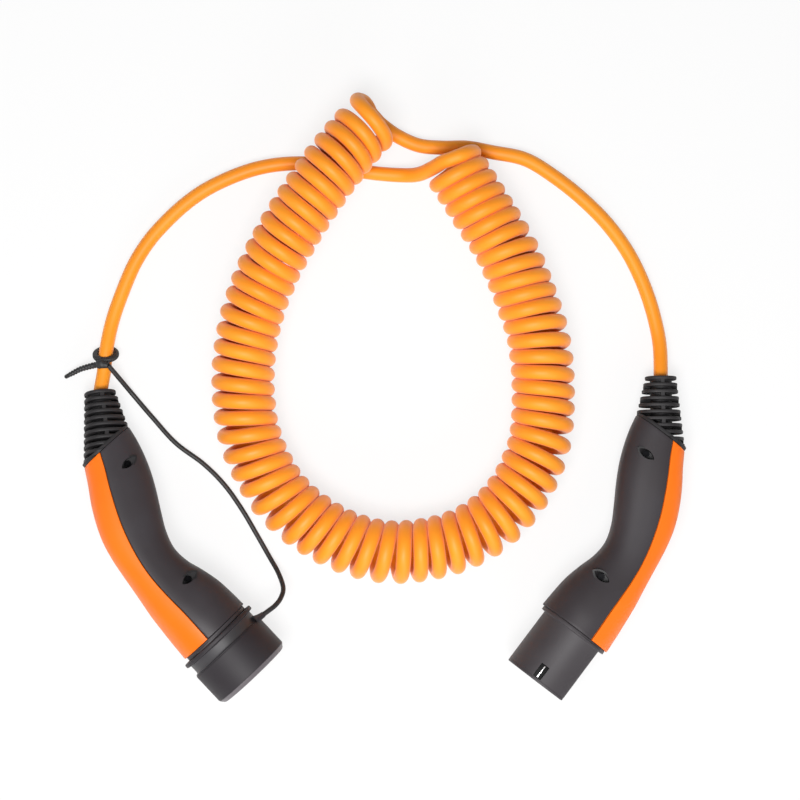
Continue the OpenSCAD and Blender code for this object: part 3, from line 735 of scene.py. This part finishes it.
def shell_ring(x, inset):
    """Section of a half shell: its skin, the ledge that carries the cover, and its inside."""
    section = section_at(x)
    a = cover_angle(section)
    ledge = COVER_T + SEAM
    outside = arc(section, math.pi, a, 44, inset)
    carried = arc(section, a, 0, 12, ledge)
    inside = arc(section, 0, a, 8, ledge + SHELL_WALL)
    inside += arc(section, a + LEDGE_ANGLE, math.pi, 20, SHELL_WALL)
    outline = outside + carried + inside
    outline = soften(outline, {0: SEAM_R, len(outside) - 1: SEAM_R})
    return [Vector((-x, p.x, p.y)) for p in outline]


# Radius of the pocket's two long sides, how far the middle of each lies off, and their steps
POCKET_R = ((POCKET_LONG / 2) ** 2 + (POCKET_WIDE / 2) ** 2) / POCKET_WIDE
POCKET_OFF = POCKET_R - POCKET_WIDE / 2
POCKET_STEPS = 16


def lens(wall, low, high, spot):
    """Eye-shaped prism of a screw pocket, across the handle."""
    radius = POCKET_R + wall
    half = math.acos(POCKET_OFF / radius)
    ring = [Vector((radius * math.cos(a) - POCKET_OFF, radius * math.sin(a)))
            for a in (-half + 2 * half * k / POCKET_STEPS for k in range(POCKET_STEPS))]
    ring += [-p for p in ring]
    return [[Vector((spot[0] + p.x, spot[1] + p.y, z)) for p in ring] for z in (low, high)]


def pocket_floor(spot):
    """Height of a screw pocket's floor above the plug's middle plane."""
    return section_at(-spot[0])[2] - POCKET_DEEP


def ramp(spot):
    """Slope inside a screw pocket, from its palm end down to the screw, with the driver's way cut out."""
    floor_z = pocket_floor(spot)
    top_z = floor_z + POCKET_DEEP - RAMP_TOP
    body = loft("ramp", lens(RAMP_IN_WALL, floor_z - RAMP_IN_FLOOR, top_z, spot))
    run = POCKET_LONG / 2 + RAMP_PAST
    fall = math.atan2(POCKET_DEEP - RAMP_TOP, run)
    slope = Matrix.Translation((spot[0], spot[1] - POCKET_LONG / 2, top_z))
    above = box_object("above", (-20, -20, 0), (20, 40, PAST), slope @ Matrix.Rotation(-fall, 4, "X"))
    body = boolean(body, above, "DIFFERENCE")
    heights = (floor_z - 1, floor_z + 10, floor_z + 20)
    way = tube("way", [Vector((spot[0], spot[1], z)) for z in heights], DRIVER_R, 32)
    return boolean(body, way, "DIFFERENCE")


def half_shell():
    """Half of a handle with its two screw pockets."""
    rows = end_edges(HANDLE_LEN, EDGE_R, ALONG)
    shell = loft("half_shell", [shell_ring(x, inset) for x, inset in rows])
    for spot in SCREW_SPOTS:
        floor_z = pocket_floor(spot)
        shell = boolean(shell, loft("cup", lens(POCKET_WALL, floor_z - POCKET_WALL,
                                                floor_z + POCKET_DEEP - CUP_BELOW, spot)), "UNION")
        shell = boolean(shell, loft("pocket", lens(0, floor_z, floor_z + PAST, spot)), "DIFFERENCE")
        shell = boolean(shell, ramp(spot), "UNION")
        hole = tube("hole", [Vector((spot[0], spot[1], z)) for z in (-1, 20, 40)], SCREW_HOLE_R, 24)
        shell = boolean(shell, hole, "DIFFERENCE")
    shade(shell, 35)
    return shell


def in_pocket(p):
    """Whether a place of the shell lies on a wall or on the ramp of a screw pocket, where the shell is
    painted darker as painted shade.
    """
    return any(p.z > pocket_floor(spot) - 0.1
               and math.hypot(abs(p.x - spot[0]) + POCKET_OFF, p.y - spot[1]) < POCKET_R + 0.01
               for spot in SCREW_SPOTS)


MIRROR_Z = Matrix.Diagonal((1, 1, -1, 1))
shell_half = half_shell()
for plug, matrix in PLUGS:
    for side, turn in (("screw_side", Matrix.Identity(4)), ("nut_side", MIRROR_Z)):
        piece = moved(shell_half, matrix @ turn, plug + "_shell_" + side + "_skin")
        finish_piece(piece, handle_plastic, "handle_plastic", plug + "_shell_" + side)
        # Faces in the screw pockets get the darker plastic as painted shade
        piece.data.materials.append(pocket_painted_shade)
        to_plug = (matrix @ turn).inverted()
        for face in piece.data.polygons:
            face.material_index = 1 if in_pocket(to_plug @ (face.center / MM)) else 0
bpy.data.objects.remove(shell_half)


# Orange covers

def cover_ring(x, inset):
    """Section of the back cover."""
    section = section_at(x)
    a = cover_angle(section) - COVER_GROOVE
    outside = arc(section, a, -a, 56, inset)
    inside = arc(section, -a, a, 28, COVER_T)
    outline = outside + inside
    outline = soften(outline, {0: SEAM_R, len(outside) - 1: SEAM_R})
    return [Vector((-x, p.x, p.y)) for p in outline]


cover = loft("cover", [cover_ring(x, inset) for x, inset in end_edges(HANDLE_LEN, EDGE_R, ALONG)])
for plug, matrix in PLUGS:
    piece = moved(cover, matrix, plug + "_back_cover_skin")
    finish_piece(piece, cover_plastic, "cover_plastic", plug + "_back_cover")
bpy.data.objects.remove(cover)


# Boots

def boot_outline(t, shrink, count=56):
    """Outline of the boot at a distance from its cable end; it widens more towards the palm."""
    out = []
    for k in range(count):
        a = 2 * math.pi * k / count
        c, s = math.cos(a), math.sin(a)
        wide = BOOT_END_R + t * (BOOT_BACK_TAPER if c > 0 else BOOT_PALM_TAPER) - shrink
        deep = BOOT_END_R + t * BOOT_DEPTH_TAPER - shrink
        out.append(Vector((wide * sign_power(c, 2 / BOOT_SQUARE), deep * sign_power(s, 2 / BOOT_SQUARE))))
    return out


BOOT_FRAME = Matrix.Translation(BOOT_END) @ Matrix.Rotation(BOOT_ANGLE, 4, "Z")
RIB_ROUND = 0.7
# How far a web reaches into the ribs beside it and stays below their rims
WEB_IN_RIB = 0.15
WEB_BELOW = 0.5
BOOT_BORE_R = CABLE_R + 0.12
# Anchor in the handle's end: depth in the handle and inset from its skin, and its sides
ANCHOR_ROWS = ((0, 0.3), (2.3, 0.3), (2.75, 0.5), (3.0, 1.0))
ANCHOR_SIDES = 64


def boot_slab(t, thick, shrink, round_r):
    """Slab across the boot's axis with rounded rims; x of the boot's frame runs into the handle."""
    rows = [(t + round_r * (1 - math.cos(a)), round_r * (1 - math.sin(a)))
            for a in (math.pi / 2 * k / 3 for k in range(4))]
    rows += [(2 * t + thick - x, inset) for x, inset in reversed(rows)]
    middle = t + thick / 2
    return loft("slab", [[BOOT_FRAME @ Vector((x, p.x, p.y)) for p in boot_outline(middle, shrink + inset)]
                         for x, inset in rows])


def row_web(row, wide, deep):
    """Web between two ribs of the boot."""
    t = (row * 2 + 1) * RIB_T
    low = (t - WEB_IN_RIB, -wide / 2, -deep / 2)
    high = (t + RIB_T + WEB_IN_RIB, wide / 2, deep / 2)
    web = box_object("web", low, high, BOOT_FRAME)
    return boolean(web, boot_slab(t - 0.2, RIB_T + 0.4, WEB_BELOW, 0.05), "INTERSECT")


def boot():
    """Boot with ribs, webs in turn across and along, and the anchor in the handle's end."""
    core_r = CABLE_R + BOOT_WALL
    body = tube("boot", [BOOT_END + BOOT_IN * t for t in (0, 20, 40, 60)], core_r, 40)
    for row in range(BOOT_ROWS):
        body = boolean(body, boot_slab(row * 2 * RIB_T, RIB_T, 0, RIB_ROUND), "UNION")
    for row in range(BOOT_ROWS - 1):
        wide, deep = (60, WEB_T) if row % 2 else (WEB_T, 60)
        body = boolean(body, row_web(row, wide, deep), "UNION")
    beyond = box_object("beyond", (-HANDLE_LEN - SEAM, -150, -60), (60, 90, 60))
    body = boolean(body, beyond, "DIFFERENCE")
    section = section_at(HANDLE_LEN)
    steps = ANCHOR_SIDES - 1
    whole = 2 * math.pi * steps / ANCHOR_SIDES
    base = [[Vector((-HANDLE_LEN - SEAM - x, p.x, p.y)) for p in arc(section, 0, whole, steps, inset)]
            for x, inset in ANCHOR_ROWS]
    body = boolean(body, loft("base", base), "UNION")
    bore = tube("bore", [BOOT_END + BOOT_IN * t for t in (-5, 20, 40, 75)], BOOT_BORE_R, 40)
    body = boolean(body, bore, "DIFFERENCE")
    shade(body, 40)
    return body


boot_body = boot()
for plug, matrix in PLUGS:
    piece = moved(boot_body, matrix, plug + "_boot_skin")
    finish_piece(piece, boot_rubber, "black_rubber", plug + "_boot")
bpy.data.objects.remove(boot_body)


# Noses

FLANGE_MID = (HANDLE[0][0] + HANDLE[0][1]) / 2
NOSE_AXIS_Y = FLANGE_MID - 1.4 + (NOSE_R - NOSE_FLAT) / 2
FLANGE_R = COLLAR_R - 0.5
SPIGOT_R = COLLAR_R - SHELL_WALL - COVER_T - SEAM - 1.8
SPIGOT_LEN = 9.0
SPIGOT_WALL = 2.6
NOSE_CORNER_R = 1.8
NOSE_STEPS = 80
# How far the nose's foot reaches into the flange and stands out round its own skin
FOOT_IN = 1.0
FOOT_OUT = 0.9
SLOT_LONG = 12.8
SLOT_WIDE = 7.6
SLOT_FROM_RIM = 2.7
SLOT_Y = -2.2


def nose_ring(x, inset):
    """D outline of the nose with softened corners."""
    r, flat = NOSE_R - inset, NOSE_FLAT - inset
    corner = math.acos(flat / r)
    span = 2 * math.pi - 2 * corner
    arc_points = [Vector((r * math.cos(a), r * math.sin(a)))
                  for a in (corner + span * k / NOSE_STEPS for k in range(NOSE_STEPS + 1))]
    outline = soften(arc_points, {0: NOSE_CORNER_R, len(arc_points) - 1: NOSE_CORNER_R}, 4)
    return [Vector((x, NOSE_AXIS_Y + p.x, p.y)) for p in outline]


def nose(long):
    """Open nose with its flange, its spigot and two lock slots. The rows are a distance along the
    nose and an inset: the foot, a groove behind the rim, the rim and the inside."""
    foot = FLANGE_T + SEAM
    rows = [(FLANGE_T - FOOT_IN, -FOOT_OUT), (foot, -FOOT_OUT), (foot + 0.2, -0.42),
            (foot + 0.5, -0.14), (foot + 1.1, 0.0),
            (long - 2.6, 0.0), (long - 2.4, 0.25), (long - 2.0, 0.25), (long - 1.8, 0.0),
            (long - 0.9, 0.0), (long - 0.35, 0.2), (long, 0.8),
            (long, NOSE_WALL - 0.5), (long - 0.15, NOSE_WALL - 0.15), (long - 0.5, NOSE_WALL),
            (foot, NOSE_WALL), (FLANGE_T - FOOT_IN, NOSE_WALL + 0.2)]
    body = loft("nose", [nose_ring(x, inset) for x, inset in rows], caps=False)
    for side in (-1, 1):
        at = Matrix.Translation((long - SLOT_FROM_RIM - SLOT_LONG / 2, SLOT_Y, side * NOSE_R))
        slot = rounded_box("slot", (SLOT_LONG, SLOT_WIDE, 4 * NOSE_WALL), 0.4, at)
        body = boolean(body, slot, "DIFFERENCE")
    flange = revolve("flange", [(SEAM, 0), (SEAM, FLANGE_R - 0.4), (SEAM + 0.12, FLANGE_R - 0.12),
                                (SEAM + 0.4, FLANGE_R), (FLANGE_T - 0.1, FLANGE_R),
                                (FLANGE_T + 0.2, FLANGE_R - 0.12), (FLANGE_T + 0.3, FLANGE_R - 0.4),
                                (FLANGE_T + 0.3, 0)], FLANGE_MID)
    spigot = revolve("spigot", [(-SPIGOT_LEN, 0), (-SPIGOT_LEN, SPIGOT_R), (1, SPIGOT_R), (1, 0)],
                     FLANGE_MID)
    flange = boolean(flange, spigot, "UNION")
    bore_r = SPIGOT_R - SPIGOT_WALL
    bore = revolve("bore", [(-SPIGOT_LEN - 1, 0), (-SPIGOT_LEN - 1, bore_r), (20, bore_r), (20, 0)],
                   FLANGE_MID)
    flange = boolean(flange, bore, "DIFFERENCE")
    body = boolean(body, flange, "UNION")
    shade(body, 30)
    return body


for plug, matrix, long in NOSES:
    made = nose(long)
    piece = moved(made, matrix, plug + "_nose_skin")
    finish_piece(piece, nose_plastic, "handle_plastic", plug + "_nose")
    bpy.data.objects.remove(made)


# Lock plates in the nose's slots: a dark plate with a bright rib. Material, size, and height above
# the nose's inside

LOCK_PARTS = (("plate", dark_plate, (SLOT_LONG - 0.4, SLOT_WIDE - 0.4, 0.8), 0.4),
              ("rib", bright_steel, (SLOT_LONG - 1.8, 1.1, 2.2), 1.6))
for plug, matrix, long in NOSES:
    for part, material, size, rise in LOCK_PARTS:
        group = []
        for side in (-1, 1):
            at = Matrix.Translation((long - SLOT_FROM_RIM - SLOT_LONG / 2, SLOT_Y,
                                     side * (NOSE_R - NOSE_WALL + rise)))
            group.append(rounded_box("lock", size, 0.2, matrix @ at))
        piece = joined(group, plug + "_lock_" + part + "_skin")
        finish_piece(piece, material, "plate_steel", plug + "_lock_plates")


# Cap

CAP_MID_Y = NOSE_AXIS_Y - 2
CAP_BACK = FLANGE_T + SEAM + 0.3
CAP_LEN = STATION_NOSE_LEN + CAP_FRONT + 0.6
CAP_BEVEL = 4.0
CAP_RIM_T = 4.0
CAP_NECK_R = CAP_R - 2.7
CAP_NECK_END = CAP_BACK + 12.8
# Direction of the bevel in the cap's profile
BEVEL_WAY = (0.77, -0.64)
# Boss for the tether: its length, and how its radius grows from the tether's
BOSS_LEN = 7
BOSS_OVER = 0.5
BOSS_GROWS = 1.9


def fillet(x, r, dx, dr, size, steps=5):
    """Quarter round between two directions of a profile, at its corner x, r."""
    start = Vector((x - dx[0] * size, r - dx[1] * size))
    end = Vector((x + dr[0] * size, r + dr[1] * size))
    corner = Vector((x, r))
    return [tuple(start.lerp(corner, k / steps).lerp(corner.lerp(end, k / steps), k / steps))
            for k in range(steps + 1)]


def cap():
    """Cap with a rim, a neck and a bevel at its front, hollow for the nose."""
    profile = [(CAP_BACK, 0), (CAP_BACK, CAP_RIM_R - 1.2)]
    profile += fillet(CAP_BACK, CAP_RIM_R, (0, 1), (1, 0), 1.2)
    profile += fillet(CAP_BACK + CAP_RIM_T - 0.3, CAP_RIM_R, (1, 0), (0, -1), 1.2)
    profile += fillet(CAP_BACK + CAP_RIM_T, CAP_NECK_R, (0, -1), (1, 0), 0.8)
    profile += fillet(CAP_NECK_END, CAP_NECK_R, (1, 0), (0, 1), 1.9, 8)
    profile += fillet(CAP_NECK_END + 0.9, CAP_R, (0, 1), (1, 0), 0.7)
    profile += fillet(CAP_LEN - CAP_BEVEL, CAP_R, (1, 0), BEVEL_WAY, 1.3)
    profile += fillet(CAP_LEN, CAP_R - 0.83 * CAP_BEVEL, BEVEL_WAY, (0, -1), 1.3)
    profile += [(CAP_LEN, 0)]
    body = revolve("cap", profile, CAP_MID_Y, 128, 30)
    cavity_end = STATION_NOSE_LEN + 0.6
    cavity = loft("cavity", [nose_ring(x, -CAP_FIT) for x in (0, cavity_end)])
    return boolean(body, cavity, "DIFFERENCE")


cap_body = cap()
cap_piece = moved(cap_body, STATION, "nose_cap_skin")
bpy.data.objects.remove(cap_body)
tether = through(TETHER_ROUTE, 2.0)
cap_way = direction(tether, len(tether) - 1)
cap_anchor = tether[-1] + cap_way * BOSS_LEN
boss = tube("boss", through([tether[-1] - cap_way * 2, tether[-1], cap_anchor], 0.8),
            lambda t: TETHER_R + BOSS_OVER + BOSS_GROWS * t * t, 32)
cap_piece = boolean(cap_piece, boss, "UNION")
shade(cap_piece, 32)
cap_piece.data.name = "nose_cap_skin"
finish_piece(cap_piece, cap_rubber, "black_rubber", "nose_cap")
# The neck is painted lighter as painted light, and the front bevel lighter still as a painted highlight
cap_piece.data.materials.append(neck_painted_light)
cap_piece.data.materials.append(bevel_painted_highlight)
for face in cap_piece.data.polygons:
    spot = STATION.inverted() @ (face.center / MM)
    in_neck = CAP_BACK + CAP_RIM_T + 0.2 < spot.x < CAP_NECK_END - 0.1
    # on_bevel marks the faces that get the painted highlight
    on_bevel = spot.x > CAP_LEN - CAP_BEVEL and spot.yz.length > CAP_R - CAP_BEVEL
    face.material_index = 1 if in_neck else 2 if on_bevel else 0


# Tether and strap

STRAP_SIDES = 144
STRAP_HEAD_SIZE = (8.2, 7.8, 7.2)
STRAP_LINK_R = 2.1
# Radius of the neck where it leaves the strap's head, and by how much it gets thinner
NECK_R = 3.6
NECK_TAPER = 1.1
# Tail: its radius at the head, by how much it gets thinner, its core between the teeth and at its
# plain ends, and the lengths of the plain ends and of the rounded tip
TAIL_R = 3.0
TAIL_TAPER = 0.8
TOOTH_CORE = 0.74
PLAIN_CORE = 0.8
TEETH_FROM = 5.5
TEETH_TO_END = 6.0
TIP_LEN = 1.6

tether_piece = tube("cap_tether_cord", tether, TETHER_R, 20)
finish_piece(tether_piece, tether_rubber, "black_rubber", "cap_tether")


def strap():
    """Strap with its loop round the lead, its head, the neck to the tether and the tail."""
    turn = Matrix.Translation(STRAP_MID) @ Matrix.Rotation(math.pi / 2 + STRAP_TILT, 4, "X")
    rings = []
    for k in range(STRAP_SIDES):
        a = 2 * math.pi * k / STRAP_SIDES
        way = Vector((math.cos(a), math.sin(a), 0))
        ridge = STRAP_RIDGE if k % 4 < 2 else -STRAP_RIDGE
        inner = -1.6 - 0.9 * way.x ** 2
        ring = [(inner, -1.8), (inner + 0.4, -2.3), (0.9, -2.3), (1.6, -1.9), (1.9 + ridge, -1.2),
                (2.0 + ridge, 0), (1.9 + ridge, 1.2), (1.6, 1.9), (0.9, 2.3), (inner + 0.4, 2.3),
                (inner, 1.8)]
        rings.append([turn @ (way * (STRAP_LOOP_R + p) + Vector((0, 0, q))) for p, q in ring])
    body = loft("strap", rings, caps=False)
    tail = through(STRAP_TAIL_ROUTE, 0.5)
    top = turn @ Vector((0, STRAP_LOOP_R, 0))
    link = [STRAP_HEAD, STRAP_HEAD.lerp(top, 0.5), top]
    body = boolean(body, tube("link", link, STRAP_LINK_R, 24), "UNION")
    neck_line = [STRAP_HEAD, STRAP_HEAD.lerp(tether[0], 0.5), tether[0]]
    neck = tube("neck", through(neck_line, 0.8), lambda t: NECK_R - NECK_TAPER * t * t, 28)
    body = boolean(body, neck, "UNION")
    body = boolean(body, tail_piece(tail), "UNION")
    rotation = direction(tail, 2).to_track_quat("X", "Z").to_matrix().to_4x4()
    head = rounded_box("head", STRAP_HEAD_SIZE, 2.7, Matrix.Translation(STRAP_HEAD) @ rotation)
    body = boolean(body, head, "UNION")
    shade(body, 35)
    return body


def tail_piece(line):
    """Tail of the strap: a pin with a row of teeth and a smooth rounded end."""
    total = length_of(line)
    first, last = TEETH_FROM, total - TEETH_TO_END
    pitch = (last - first) / STRAP_TEETH

    def radius(t):
        along = t * total
        size = TAIL_R - TAIL_TAPER * t
        if along > total - TIP_LEN:
            into_tip = (along - total + TIP_LEN) / TIP_LEN
            return size * PLAIN_CORE * math.sqrt(max(0.02, 1 - into_tip ** 2))
        if first < along < last:
            tooth = smoothstep(2.2 * abs((along - first) / pitch % 1 - 0.5))
            return size * (TOOTH_CORE + (1 - TOOTH_CORE) * tooth)
        return size * PLAIN_CORE

    return tube("tail", line, radius, 24)


strap_piece = strap()
strap_piece.name = "tether_strap_skin"
finish_piece(strap_piece, tether_rubber, "black_rubber", "tether_strap")


# Finishes of the CAD pieces that stay

FINISHES = (
    ("contact_carrier", carrier_plastic), ("contact_", silver_plate), ("nose_seal", seal_rubber),
    ("coding_resistor", resistor_coat), ("conductors", core_coat), ("cable_clamp", clamp_nylon),
    ("clamp_screws", zinc_steel), ("housing_screws", black_steel), ("housing_nuts", black_steel))
for name, obj in nodes.items():
    for part, material in FINISHES:
        if part in name:
            obj.data.materials.clear()
            obj.data.materials.append(material)
            break
